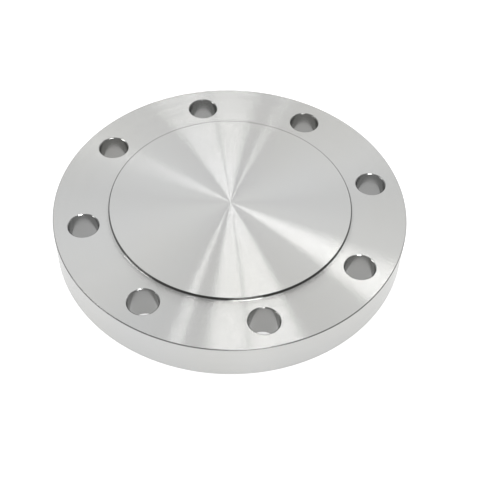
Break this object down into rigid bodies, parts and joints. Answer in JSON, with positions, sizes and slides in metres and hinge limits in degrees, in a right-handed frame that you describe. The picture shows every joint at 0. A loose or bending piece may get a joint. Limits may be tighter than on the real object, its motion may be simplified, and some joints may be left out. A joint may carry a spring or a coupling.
{
  "type": "blind flange",
  "caption": "Raised-face blind flange: a solid turned steel disc with a ring of plain bolt holes that closes the end of a pipe.",
  "frame": {"origin": "centre of the flat back face", "axes": "+Z along the flange's axis, out of the raised face; the bolt holes straddle X and Y"},
  "size_m": [0.2286, 0.2286, 0.0273],
  "materials": {
    "turned_steel": "fine lathe-turned, concentric tool marks, semi-bright"
  },
  "bodies": {
    "root": {"blind_flange": "turned_steel"}
  },
  "joints": []
}
